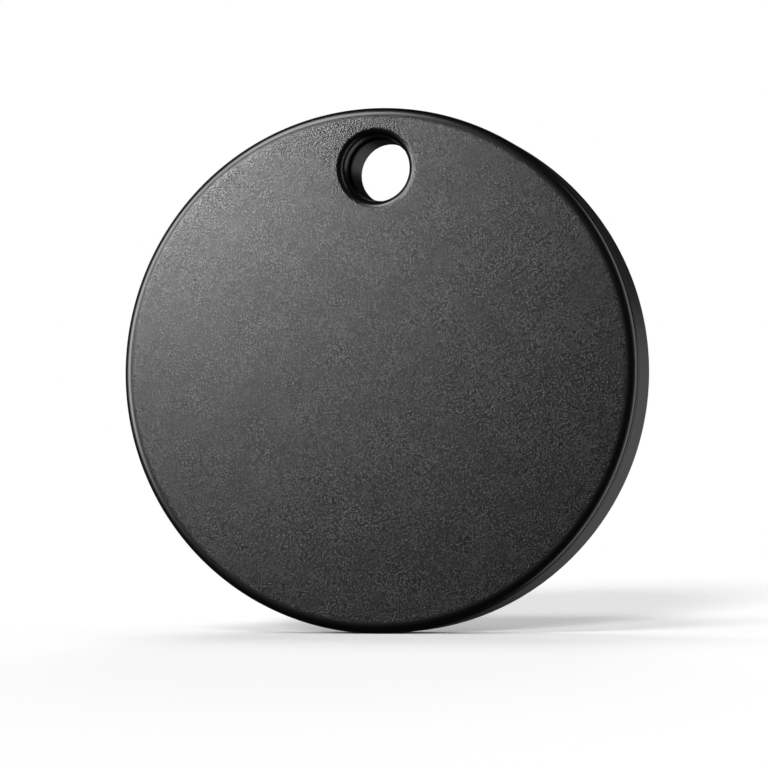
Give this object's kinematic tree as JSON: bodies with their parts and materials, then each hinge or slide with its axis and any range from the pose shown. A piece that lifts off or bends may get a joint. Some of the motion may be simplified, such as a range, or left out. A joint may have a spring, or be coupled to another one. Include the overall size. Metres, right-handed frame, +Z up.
{
  "type": "bluetooth tracker tag",
  "caption": "Round, flat tracker tag with a key-ring hole, a push cover, a coin-cell bay behind a bayonet door, and its circuit board and sounder inside.",
  "frame": {"origin": "lowest point of the round edge that the tag stands on, in the middle of its thickness", "axes": "+Z up towards the key-ring hole, +Y out of the back face with the battery door, -Y out of the front cover, +X to the right seen from the front"},
  "size_m": [0.038, 0.0064, 0.038],
  "materials": {
    "cover_plastic": "black, fine spark-eroded grain",
    "body_plastic": "black, satin",
    "door_plastic": "black, fine grain",
    "seal_rubber": "black silicone, smooth",
    "door_seal_rubber": "dark red silicone, smooth",
    "cell_steel": "rolled nickel-plated steel",
    "cell_insulator": "natural polypropylene",
    "contact_metal": "gold-flashed spring strip",
    "board_laminate": "green solder mask with copper tracks under it",
    "chip_mould": "matte epoxy moulding",
    "crystal_can": "plated lid on a ceramic base",
    "antenna_ceramic": "sintered ceramic with plated ends",
    "coil_ferrite": "ferrite drum with enamelled copper winding",
    "capacitor_ceramic": "sintered ceramic with tinned ends",
    "resistor_film": "glazed film with tinned ends",
    "sounder_brass": "rolled brass sheet",
    "sounder_ceramic": "silvered piezo ceramic",
    "adhesive": "double-sided foam tape",
    "switch_mould": "glass-filled moulding",
    "tinned_metal": "tinned",
    "dome_steel": "spring steel",
    "plunger_plastic": "moulded, smooth"
  },
  "bodies": {
    "case": {"rear_body": "body_plastic", "sleeve_seal": "seal_rubber", "battery_can": "cell_steel", "battery_cap": "cell_steel", "battery_insulator": "cell_insulator", "positive_contact": "contact_metal", "negative_contact": "contact_metal", "circuit_board": "board_laminate", "radio_chip": "chip_mould", "main_crystal": "crystal_can", "clock_crystal": "crystal_can", "antenna": "antenna_ceramic", "boost_coil": "coil_ferrite", "driver_transistor": "chip_mould", "capacitors": "capacitor_ceramic", "resistors": "resistor_film", "piezo_contacts": "contact_metal", "switch_housing": "switch_mould", "switch_terminals": "tinned_metal", "switch_dome": "dome_steel"},
    "cover": {"front_cover": "cover_plastic", "cover_seal": "seal_rubber", "piezo_plate": "sounder_brass", "piezo_ceramic": "sounder_ceramic", "piezo_adhesive": "adhesive"},
    "door": {"battery_door": "door_plastic", "door_seal": "door_seal_rubber"},
    "plunger": {"switch_plunger": "plunger_plastic"}
  },
  "joints": [
    {"name": "cover_press", "type": "slide", "parent": "case", "child": "cover", "axis": [0, 1, 0], "range_m": [0, 0.00015], "stiffness_N_per_m": 4000, "deforming": ["piezo_contacts"]},
    {"name": "switch_press", "type": "slide", "parent": "case", "child": "plunger", "axis": [0, 1, 0], "range_m": [0, 0.00015], "deforming": ["switch_dome"]},
    {"name": "door_turn", "type": "hinge", "parent": "case", "child": "door", "pos_m": [0, 0.003, 0.016], "axis": [0, 1, 0], "range_deg": [0, 33]}
  ],
  "couplings": [
    {"joint": "switch_press", "follows": "cover_press", "ratio": 1}
  ]
}
